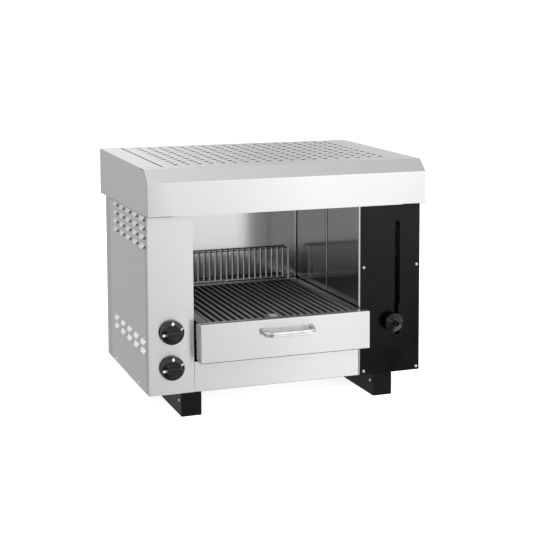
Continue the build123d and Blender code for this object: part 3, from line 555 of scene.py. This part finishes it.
# Gas train: brass valves and injectors on a zinc plated manifold, joined by drawn copper pipe.
# Brass and copper dull to a softer, darker tone in patches some 18 mm wide.
def dulled(name, bright, dull, rough):
    """Bare metal with stains of a duller, rougher tone."""
    made, tree, shader, place = new_finish(name, {"Metallic": 1.0})
    stain_mm = 18
    stain = add(
        tree, "ShaderNodeTexNoise", {"Vector": place, "Scale": 1000 / stain_mm, "Detail": 5.0}
    )
    part = add(tree, "ShaderNodeMapRange", {0: stain.outputs[0], 1: 0.35, 2: 0.7})
    tint = add(
        tree, "ShaderNodeMix", {0: part.outputs[0], 6: linear(bright), 7: linear(dull)},
        data_type="RGBA",
    )
    matt = add(tree, "ShaderNodeMapRange", {0: stain.outputs[0], 3: rough - 0.1, 4: rough + 0.15})
    feed(tree, shader, {"Base Color": tint.outputs[2], "Roughness": matt.outputs[0]})
    return made


brass = dulled("turned brass", "#d3b065", "#a5823f", rough=0.3)
coat(brass, "gas_injectors", "upper_valve", "lower_valve")
coat(brass, "upper_push_rod", "lower_push_rod", "upper_spindle", "lower_spindle")
copper = dulled("drawn copper", "#c7845f", "#8f5a3d", rough=0.32)
coat(copper, "front_pipe", "rear_pipe", "supply_pipe")
coat(zinc, "gas_manifold")

# Gas inlet: a brass hexagon and a half-inch male thread at the back, with the thread's ridges
# turned at a pitch of 1.8 mm and a bore for the gas.
bm = bmesh.new()
thread_pitch, crest, root, hexagon_height = 1.8, 10.5, 9.5, 8
first_crest, first_root = 9.2, 10.1
thread = []
for turn in range(11):
    thread += [(crest, first_crest + thread_pitch * turn), (root, first_root + thread_pitch * turn)]
mouth_end = [(6, 2), (6, 30), (9.3, 30), (9.9, 29.4)]
spin_section(bm, mouth_end + thread[::-1] + [(9.6, hexagon_height)], steps=40)
bmesh.ops.remove_doubles(bm, verts=bm.verts, dist=0.01)
hexagon = bmesh.ops.create_circle(bm, cap_ends=True, segments=6, radius=15)["verts"]
lift = bmesh.ops.extrude_face_region(bm, geom=[hexagon[0].link_faces[0]])["geom"]
bmesh.ops.translate(bm, vec=(0, 0, hexagon_height), verts=verts_in(lift))
bmesh.ops.recalc_face_normals(bm, faces=bm.faces)
long_edges = [e for e in bm.edges if len(e.link_faces) == 2 and e.calc_length() > 7]
ease(bm, [e for e in long_edges if e.calc_face_angle(0.0) > radians(40)], 0.5, segments=2)
inlet_seat = Matrix.Translation((-252.5, 199, 88)) @ Matrix.Rotation(radians(-90), 4, "X")
bmesh.ops.transform(bm, matrix=inlet_seat, verts=bm.verts)
settle(bm, "gas_inlet_union", brass, "cabinet", "brass", "gas_inlet")


# Gas knobs: moulded black phenolic with a round skirt, a low boss and a bar grip across it.
# The moulding is glossy with faint flow marks; the marks on the skirt are white paint, pad printed.
def moulded(name, polish):
    """Black phenolic under a polished skin."""
    made, tree, shader, place = new_finish(name, {
        "Specular IOR Level": 0.34, "Coat Weight": polish, "Coat IOR": 1.5, "Coat Roughness": 0.04,
    })
    flow_mm = 9
    flow = add(
        tree, "ShaderNodeTexNoise", {"Vector": place, "Scale": 1000 / flow_mm, "Detail": 4.0}
    )
    deep = add(
        tree, "ShaderNodeMix", {0: flow.outputs[0], 6: linear("#040405"), 7: linear("#080809")},
        data_type="RGBA",
    )
    sheen = add(tree, "ShaderNodeMapRange", {0: flow.outputs[0], 3: 0.1, 4: 0.24})
    feed(tree, shader, {"Base Color": deep.outputs[2], "Roughness": sheen.outputs[0]})
    return made


def block(bm, size, centre):
    """A box of so many millimetres round a centre."""
    corners = bmesh.ops.create_cube(bm, size=1)["verts"]
    bmesh.ops.scale(bm, vec=size, verts=corners)
    bmesh.ops.translate(bm, vec=centre, verts=corners)
    return corners


phenolic = moulded("moulded black phenolic", polish=0.55)
pad_print, tree, shader, place = new_finish("white pad printing", {"Roughness": 0.5})
grit_mm = 0.8
grit = add(tree, "ShaderNodeTexNoise", {"Vector": place, "Scale": 1000 / grit_mm})
paint = add(
    tree, "ShaderNodeMix", {0: grit.outputs[0], 6: linear("#e2e2df"), 7: linear("#f6f6f4")},
    data_type="RGBA",
)
feed(tree, shader, {"Base Color": paint.outputs[2]})
facing = Matrix.Rotation(radians(90), 4, "X")
knob_x, knob_y, skirt_height, grip_top, grip_half = -252.5, -176, 9, 23, 5
knob_section = [
    (0, 0), (23.4, 0), (24.6, 0.5), (25, 1.8), (24.7, 4), (23.8, 7.6), (23.1, 8.6),
    (22, skirt_height), (16.2, skirt_height), (15.4, 9.5), (14.1, 13.3), (13.3, 14), (0, 14),
]
for level, height in (("upper", 176.5), ("lower", 103.5)):
    seat = Matrix.Translation((knob_x, knob_y, height)) @ facing
    bm = bmesh.new()
    spin_section(bm, knob_section, steps=64)
    bmesh.ops.remove_doubles(bm, verts=bm.verts, dist=0.01)
    bar = block(bm, (33, 10, 14.5), (0, 0, 15.75))
    around = {e for v in bar for e in v.link_edges}
    ease(bm, [e for e in around if abs(e.verts[0].co.x - e.verts[1].co.x) < 0.1], 2.2, segments=4)
    crown = [
        e for e in bm.edges
        if all(v.co.z > grip_top - 0.1 and abs(v.co.y) > grip_half - 0.1 for v in e.verts)
    ]
    ease(bm, [e for e in crown if abs(e.verts[0].co.x - e.verts[1].co.x) > 5], 1.5, segments=3)
    bmesh.ops.recalc_face_normals(bm, faces=bm.faces)
    bmesh.ops.transform(bm, matrix=seat, verts=bm.verts)
    settle(
        bm, f"{level}_bar_knob", phenolic, f"{level}_control", "black_plastic", f"{level}_knob"
    )
    bm = bmesh.new()
    for angle, out, long, wide, slant, point in (
        (90, 19.2, 3.9, 3.0, 0, 0.75), (22, 20.0, 3.0, 1.5, 20, 0), (190, 19.3, 2.7, 2.7, 0, 0),
    ):
        dab = bmesh.ops.create_circle(bm, cap_ends=True, segments=24, radius=1.0)["verts"]
        for v in dab:
            v.co.y *= 1 - point * max(v.co.x, 0)
        rim = bmesh.ops.extrude_face_region(bm, geom=[dab[0].link_faces[0]])["geom"]
        raised = verts_in(rim)
        bmesh.ops.translate(bm, vec=(0, 0, 0.2), verts=raised)
        dab += raised
        bmesh.ops.scale(bm, vec=(long, wide, 1), verts=dab)
        tilt = Matrix.Rotation(radians(slant), 3, "Z")
        bmesh.ops.rotate(bm, cent=(0, 0, 0), matrix=tilt, verts=dab)
        turn = Matrix.Rotation(radians(angle), 4, "Z")
        on_skirt = turn @ Matrix.Translation((out, 0, skirt_height - 0.05))
        bmesh.ops.transform(bm, matrix=on_skirt, verts=dab)
    bmesh.ops.recalc_face_normals(bm, faces=bm.faces)
    bmesh.ops.transform(bm, matrix=seat, verts=bm.verts)
    settle(bm, f"{level}_knob_marks", pad_print, f"{level}_control", "black_plastic")

# Lift: ground rods between two zinc plated plates, a welded carriage on bronze bushes, and the arm
# and tongue that it carries. The tongue is coated black, as it comes out through the slot.
ground = dulled("ground steel rod", "#c9cacb", "#aeb0b1", rough=0.22)
coat(ground, "guide_rods", "stop_collars", "clamp_screw")
coat(zinc, "lower_rod_plate", "upper_rod_plate", "carriage", "shelf_arm")
coat(dulled("sintered bronze", "#a67c45", "#7a5a33", rough=0.45), "carriage_bushes")
bm = rounded_copy("lift_tongue", 0.8)
settle(bm, "tongue_plate", panel_coat, "shelf", "black_paint", "lift_tongue")

# Clamp knob: a black trumpet-shaped disc on the clamp screw, moulded in the gas knobs' phenolic but
# left matt. Its face is a smooth cone between the rim and the hub.
matt_phenolic = moulded("moulded black phenolic, matt", polish=0.1)
clamp_section = [
    (0, 0), (11.6, 0), (13, 0.4), (19.8, 3.4), (20.4, 4.2), (20.5, 6.2), (20.1, 7.6), (19, 8.6),
    (9.6, 13.4), (8.2, 13.8), (6.6, 14.2), (5.9, 19.2), (5.2, 20), (4.1, 20), (3.9, 16), (0, 16),
]
bm = bmesh.new()
spin_section(bm, clamp_section, steps=64)
bmesh.ops.remove_doubles(bm, verts=bm.verts, dist=0.01)
bmesh.ops.recalc_face_normals(bm, faces=bm.faces)
clamp_seat = Matrix.Translation((232.5, -182, 159.5)) @ facing
bmesh.ops.transform(bm, matrix=clamp_seat, verts=bm.verts)
settle(bm, "clamp_disc", matt_phenolic, "clamp", "black_plastic", "clamp_knob")

# Shelf frame: folded stainless rails round the grate, dulled by fat and heat.
# Toward the back they turn darker brown.
used_steel = linished("stainless steel, heat dulled", "Y", "#83827f", "#999895", rough=0.34)
tree = used_steel.node_tree
shader = tree.nodes["Principled BSDF"]
clean = shader.inputs["Base Color"].links[0].from_socket
place = add(tree, "ShaderNodeTexCoord", {}).outputs["Object"]
depth = add(tree, "ShaderNodeSeparateXYZ", {0: place})
rear = add(tree, "ShaderNodeMapRange", {0: depth.outputs[1], 1: 0.09, 2: 0.165})
darker_back = add(
    tree, "ShaderNodeMix", {0: rear.outputs[0], 6: clean, 7: linear("#36332f")}, data_type="RGBA"
)
feed(tree, shader, {"Base Color": darker_back.outputs[2]})
bm = rounded_copy("shelf_frame", 0.5)
settle(bm, "shelf_frame_sheet", used_steel, "shelf", "stainless_sheet", "shelf_frame")

# Grate: grey cast iron with tapered bars from front to back. Sand casting leaves a fine pitted
# skin, drawn at about 1 mm. The flanks below the bar tops and the back under the hood are darkened
# with painted shade, and the lifting pad is rubbed paler.
iron, tree, shader, place = new_finish(
    "grey cast iron", {"Metallic": 0.3, "Specular IOR Level": 0.4}
)
pit_mm, blot_mm, wear_mm = 1.0, 45, 6
pits = add(tree, "ShaderNodeTexNoise", {"Vector": place, "Scale": 1000 / pit_mm, "Detail": 3.0})
blot = add(tree, "ShaderNodeTexNoise", {"Vector": place, "Scale": 1000 / blot_mm, "Detail": 3.0})
crown = add(
    tree, "ShaderNodeMix", {0: blot.outputs[0], 6: linear("#767677"), 7: linear("#98989a")},
    data_type="RGBA",
)
depth = add(tree, "ShaderNodeSeparateXYZ", {0: place})
# Painted shade: toward the back, under the hood, the iron is mixed up to 70% toward dark grey.
rear = add(
    tree, "ShaderNodeMapRange", {0: depth.outputs[1], 1: -0.1, 2: 0.15, 3: 0.0, 4: 0.7}
)
painted_back_shade = add(
    tree, "ShaderNodeMix", {0: rear.outputs[0], 6: crown.outputs[2], 7: linear("#303031")},
    data_type="RGBA",
)
# Painted shade: below the bar tops the flanks are dark grey.
height = add(tree, "ShaderNodeMapRange", {0: depth.outputs[2], 1: 0.1925, 2: 0.1945})
skin = add(
    tree, "ShaderNodeMix", {0: height.outputs[0], 6: linear("#262627"), 7: painted_back_shade.outputs[2]},
    data_type="RGBA",
)
matt = add(tree, "ShaderNodeMapRange", {0: pits.outputs[0], 3: 0.42, 4: 0.62})
pitted = add(
    tree, "ShaderNodeBump", {"Height": pits.outputs[0], "Strength": 0.25, "Distance": 0.0004}
)
feed(tree, shader, {
    "Base Color": skin.outputs[2], "Roughness": matt.outputs[0], "Normal": pitted.outputs[0],
})
settle(rounded_copy("grate", 0.7), "cast_grate", iron, "shelf", "cast_iron", "grate")
bm = bmesh.new()
block(bm, (17, 21, 1), (-38.25, -177, 195))
ease(bm, bm.edges[:], 0.4, segments=2)
rubbed, tree, shader, place = new_finish(
    "cast iron, rubbed bright", {"Metallic": 0.3, "Roughness": 0.5}
)
wear = add(tree, "ShaderNodeTexNoise", {"Vector": place, "Scale": 1000 / wear_mm, "Detail": 3.0})
worn = add(
    tree, "ShaderNodeMix", {0: wear.outputs[0], 6: linear("#b4b3b0"), 7: linear("#deddda")},
    data_type="RGBA",
)
feed(tree, shader, {"Base Color": worn.outputs[2]})
settle(bm, "rubbed_lifting_pad", rubbed, "shelf", "cast_iron")

# Wire guard: bright drawn stainless wires of 3.4 mm, welded to two darker rails behind them,
# standing on the back of the shelf. Every eleventh wire reaches down to it as a post.
wires, wire_pitch, first_wire, wire_radius, post_step = 23, 13.9, -175.9, 1.7, 11
guard_top, post_foot, wire_foot, wire_y, rail_y = 271, 195, 201, 173, 176
rail_heights, rail_overhang = (269.2, 204), 3.6
guard_width = (wires - 1) * wire_pitch
bm = bmesh.new()
for i in range(wires):
    low = post_foot if i % post_step == 0 else wire_foot
    middle = (first_wire + i * wire_pitch, wire_y, (guard_top + low) / 2)
    bmesh.ops.create_cone(
        bm, cap_ends=True, segments=12, radius1=wire_radius, radius2=wire_radius,
        depth=guard_top - low, matrix=Matrix.Translation(middle),
    )
uprights = set(bm.faces)
lying = Matrix.Rotation(radians(90), 4, "Y")
for z in rail_heights:
    middle = (first_wire + guard_width / 2, rail_y, z)
    bmesh.ops.create_cone(
        bm, cap_ends=True, segments=12, radius1=wire_radius, radius2=wire_radius,
        depth=guard_width + rail_overhang, matrix=Matrix.Translation(middle) @ lying,
    )
for face in bm.faces:
    face.material_index = int(face not in uprights)
ease(bm, [e for e in bm.edges if e.calc_face_angle(0.0) > radians(60)], 0.5, segments=2)
drawn_wire = dulled("bright drawn stainless wire", "#f2f2f0", "#e2e2e0", rough=0.3)
drawn_wire.node_tree.nodes["Principled BSDF"].inputs["Metallic"].default_value = 0.4
guard = settle(bm, "guard_wires", drawn_wire, "shelf", "stainless_sheet", "wire_guard")
guard.data.materials.append(dulled("stainless wire, heat dulled", "#6b6a68", "#504f4d", rough=0.4))

# Drip tray: a plain folded stainless pan that slides on the shelf's runners under the grate.
# It is dulled like the shelf frame.
bm = rounded_copy("drip_tray", 0.5)
settle(bm, "drip_pan", used_steel, "drawer", "stainless_sheet", "drip_tray")

# Drawer front: a shallow folded pan of stainless sheet, linished across, with rounded corners and
# a soft fold round its face; it is open at the back and screwed to the tray.
pan_size, pan_middle, pan_sides = (369, 18, 80), (-18.5, -202, 155), (-203, 166)
pan_face_y, return_y = -211, -176
bm = bmesh.new()
block(bm, pan_size, pan_middle)
deep_edges = [e for e in bm.edges if abs(e.verts[0].co.y - e.verts[1].co.y) > 1]
ease(bm, deep_edges, 3, segments=4)
back = [f for f in bm.faces if f.normal.y > 0.9]
bmesh.ops.delete(bm, geom=back, context="FACES_ONLY")
for side in pan_sides:
    pull(bm, 0, side, y=return_y)
inner = [e for e in bm.edges if not e.is_boundary]
ease(bm, [e for e in inner if all(v.co.y < pan_face_y + 0.1 for v in e.verts)], 1.6, segments=3)
bmesh.ops.recalc_face_normals(bm, faces=bm.faces)
# Painted shade: the pan's downward faces take the dark fold steel, as the shade line under the
# drawer.
for face in bm.faces:
    face.material_index = int(face.normal.z < -0.2)
steel_fine = linished("stainless steel, finely linished across", "X", rough=0.23, spread=0.92)
drawer = settle(bm, "drawer_front_pan", steel_fine, "drawer", "stainless_sheet", "drawer_front")
drawer.data.materials.append(painted_fold_shade)
thicken(drawer, 0.0012)

# Drawer handle: a bow of oval polished stainless bar, 12 by 7 mm, bent twice and drooping a little,
# with a screw from behind in each foot.
half, reach, bend, half_thick, half_wide = 53.5, 24.5, 14.5, 3.5, 6
bm = bmesh.new()
ring = bmesh.ops.create_circle(bm, segments=28, radius=1)["verts"]
bmesh.ops.scale(bm, vec=(half_thick, half_wide, 1), verts=ring)
first_foot = Matrix.Translation((-half, 0, 0)) @ Matrix.Rotation(radians(-90), 4, "X")
bmesh.ops.transform(bm, matrix=first_foot, verts=ring)
end = list({e for v in ring for e in v.link_edges})
bmesh.ops.holes_fill(bm, edges=end)


def edges_in(geom):
    """The edges among what an operator gives back."""
    return [g for g in geom if isinstance(g, bmesh.types.BMEdge)]


def drive(bm, edges, along):
    """The open end of the bar is drawn straight on."""
    drawn = bmesh.ops.extrude_edge_only(bm, edges=edges)["geom"]
    bmesh.ops.translate(bm, vec=along, verts=verts_in(drawn))
    return edges_in(drawn)


def quarter_bend(bm, edges, centre):
    """The open end of the bar is bent round a centre by a quarter turn."""
    return edges_in(bmesh.ops.spin(
        bm, geom=edges, cent=centre, axis=(0, 0, 1), angle=radians(-90), steps=8
    )["geom_last"])


end = drive(bm, end, (0, reach - bend, 0))
end = quarter_bend(bm, end, (bend - half, reach - bend, 0))
end = drive(bm, end, (2 * (half - bend), 0, 0))
end = quarter_bend(bm, end, (half - bend, reach - bend, 0))
end = drive(bm, end, (0, bend - reach, 0))
bmesh.ops.holes_fill(bm, edges=end)
bmesh.ops.remove_doubles(bm, verts=bm.verts, dist=0.01)
bmesh.ops.recalc_face_normals(bm, faces=bm.faces)
handle_seat = (pan_middle[0], pan_face_y, 173)
droop = Matrix.Translation(handle_seat) @ Matrix.Rotation(radians(192), 4, "X")
bmesh.ops.transform(bm, matrix=droop, verts=bm.verts)
polished = dulled("polished stainless bar", "#e2e2e1", "#cfcfce", rough=0.16)
settle(bm, "bow_handle", polished, "drawer", "polished_steel", "drawer_handle")
coat(bright_zinc, "handle_screws")

# Studio: a pale floor that keeps the shadow, a soft world that is brighter to the right than to the
# left, a soft box at the left front, and the camera where the picture was taken from.
floor_finish, tree, shader, place = new_finish("pale studio floor", {
    "Roughness": 0.9, "Specular IOR Level": 0.0, "Emission Color": (1, 1, 1, 1),
})
speck = add(tree, "ShaderNodeTexNoise", {"Vector": place, "Scale": 3.0})
pale = add(
    tree, "ShaderNodeMix", {0: speck.outputs[0], 6: linear("#f0f0ef"), 7: linear("#f4f4f3")},
    data_type="RGBA",
)
rays = add(tree, "ShaderNodeLightPath", {})
seen = add(
    tree, "ShaderNodeMath", {0: rays.outputs["Is Camera Ray"], 1: 0.8}, operation="MULTIPLY"
)
feed(tree, shader, {"Base Color": pale.outputs[2], "Emission Strength": seen.outputs[0]})
bm = bmesh.new()
bmesh.ops.create_grid(bm, x_segments=1, y_segments=1, size=20)
floor_mesh = bpy.data.meshes.new("studio_floor")
bm.to_mesh(floor_mesh)
bm.free()
floor_mesh.materials.append(floor_finish)
floor = bpy.data.objects.new("studio_floor", floor_mesh)
floor.visible_glossy = False
bpy.context.scene.collection.objects.link(floor)

world = bpy.data.worlds.new("soft studio")
bpy.context.scene.world = world
world.use_nodes = True
tree = world.node_tree
tree.nodes.clear()
place = add(tree, "ShaderNodeTexCoord", {}).outputs["Generated"]
way = add(tree, "ShaderNodeSeparateXYZ", {0: place})
shades = {}
# Each pair is a place along the axis, from -1 to 1, and the grey level that the world shows there.
for name, axis, levels in (
    ("front across", 0, (
        (-0.6, 0.1), (0.0, 0.2), (0.2, 0.33), (0.26, 0.385), (0.33, 0.4), (0.38, 0.53),
        (0.44, 0.47), (0.54, 0.45), (0.75, 0.3),
    )),
    ("front upward", 2, (
        (-0.3, 0.03), (-0.25, 0.05), (-0.2, 0.3), (-0.15, 0.85), (-0.1, 0.95), (0.3, 0.9),
        (0.9, 0.45),
    )),
    ("lifted across", 0, (
        (-0.9, 0.0), (0.14, 0.0), (0.2, 1.0), (0.365, 1.0), (0.41, 0.0), (0.9, 0.0),
    )),
    ("lifted upward", 2, (
        (-0.4, 0.26), (-0.3, 0.26), (-0.25, 0.34), (-0.2, 0.62), (-0.15, 0.84), (-0.1, 0.95),
        (0.3, 0.9), (0.9, 0.45),
    )),
    ("low across", 0, (
        (-0.6, 0.08), (0.0, 0.12), (0.25, 0.28), (0.285, 0.17), (0.33, 0.42), (0.4, 0.75),
        (0.8, 0.75),
    )),
    ("back across", 0, (
        (-0.6, 0.19), (-0.25, 0.175), (-0.1, 0.2), (0.0, 0.34), (0.22, 0.44), (0.34, 0.25),
        (0.46, 0.33), (0.8, 0.32), (0.93, 0.45),
    )),
    ("left upward", 2, ((-0.4, 0.203), (-0.02, 0.187), (0.06, 0.48), (0.4, 0.48))),
    ("overhead across", 0, (
        (-0.6, 0.24), (0.0, 0.4), (0.26, 0.37), (0.45, 0.27), (0.8, 0.24),
    )),
):
    along = add(tree, "ShaderNodeMapRange", {0: way.outputs[axis], 1: -1.0, 2: 1.0})
    ramp = add(tree, "ShaderNodeValToRGB", {0: along.outputs[0]})
    for at, level in levels:
        ramp.color_ramp.elements.new((at + 1) / 2).color = (level, level, level, 1)
    ramp.color_ramp.elements.remove(ramp.color_ramp.elements[0])
    ramp.color_ramp.elements.remove(ramp.color_ramp.elements[-1])
    shades[name] = ramp.outputs[0]
upward = add(
    tree, "ShaderNodeMix",
    {0: shades["lifted across"], 6: shades["front upward"], 7: shades["lifted upward"]},
    data_type="RGBA",
)
front = add(
    tree, "ShaderNodeMix", {0: 1.0, 6: shades["front across"], 7: upward.outputs[2]},
    data_type="RGBA", blend_type="MULTIPLY",
)
room = add(
    tree, "ShaderNodeMix", {0: 1.0, 6: front.outputs[2], 7: (1.6, 1.6, 1.6, 1)},
    data_type="RGBA", blend_type="MULTIPLY",
).outputs[2]
for axis, start, full, shade in (
    (2, -0.34, -0.48, "low across"), (1, -0.35, 0.35, "back across"),
    (0, -0.24, -0.34, "left upward"), (2, 0.5, 0.85, "overhead across"),
):
    part = add(tree, "ShaderNodeMapRange", {0: way.outputs[axis], 1: start, 2: full})
    room = add(
        tree, "ShaderNodeMix", {0: part.outputs[0], 6: room, 7: shades[shade]}, data_type="RGBA"
    ).outputs[2]
rays = add(tree, "ShaderNodeLightPath", {})
shown = add(
    tree, "ShaderNodeMath",
    {0: rays.outputs["Is Glossy Ray"], 1: rays.outputs["Is Transmission Ray"]}, operation="ADD",
)
lit = add(tree, "ShaderNodeBackground", {"Color": (1, 1, 1, 1), "Strength": 0.75})
mirrored = add(tree, "ShaderNodeBackground", {"Color": room, "Strength": 2.5})
white = add(tree, "ShaderNodeBackground", {"Color": (1, 1, 1, 1), "Strength": 1.0})
light = add(
    tree, "ShaderNodeMixShader", {0: shown.outputs[0], 1: lit.outputs[0], 2: mirrored.outputs[0]}
)
sky = add(
    tree, "ShaderNodeMixShader",
    {0: rays.outputs["Is Camera Ray"], 1: light.outputs[0], 2: white.outputs[0]},
)
add(tree, "ShaderNodeOutputWorld", {"Surface": sky.outputs[0]})

soft_box = bpy.data.objects.new("soft_box", bpy.data.lights.new("soft_box", "AREA"))
soft_box.data.shape, soft_box.data.size, soft_box.data.size_y = "RECTANGLE", 1.6, 1.2
soft_box.data.energy = 45
soft_box.location = (-0.6, -2.4, 1.5)
lit_point = Vector((0, 0, 0.25))
soft_box.rotation_euler = (lit_point - soft_box.location).to_track_quat("-Z", "Y").to_euler()
soft_box.visible_glossy = False
bpy.context.scene.collection.objects.link(soft_box)

yaw, pitch, roll = radians(19.166), radians(5.549), radians(-0.338)
ahead = Vector((sin(yaw) * cos(pitch), cos(yaw) * cos(pitch), -sin(pitch)))
level_right = Vector((cos(yaw), -sin(yaw), 0))
level_up = level_right.cross(ahead)
right = cos(roll) * level_right + sin(roll) * level_up
up = cos(roll) * level_up - sin(roll) * level_right
aim = Matrix((right, up, -ahead)).transposed().to_4x4()
camera = bpy.data.objects.new("camera", bpy.data.cameras.new("camera"))
camera.data.sensor_width = 36
camera.data.lens = 82.827
camera.data.shift_x, camera.data.shift_y = 0.03085, -0.20543
camera.data.clip_end = 60
camera.matrix_world = Matrix.Translation((-0.8937, -2.5032, 0.7625)) @ aim
bpy.context.scene.collection.objects.link(camera)
bpy.context.scene.camera = camera
bpy.context.scene.view_settings.view_transform = "Standard"
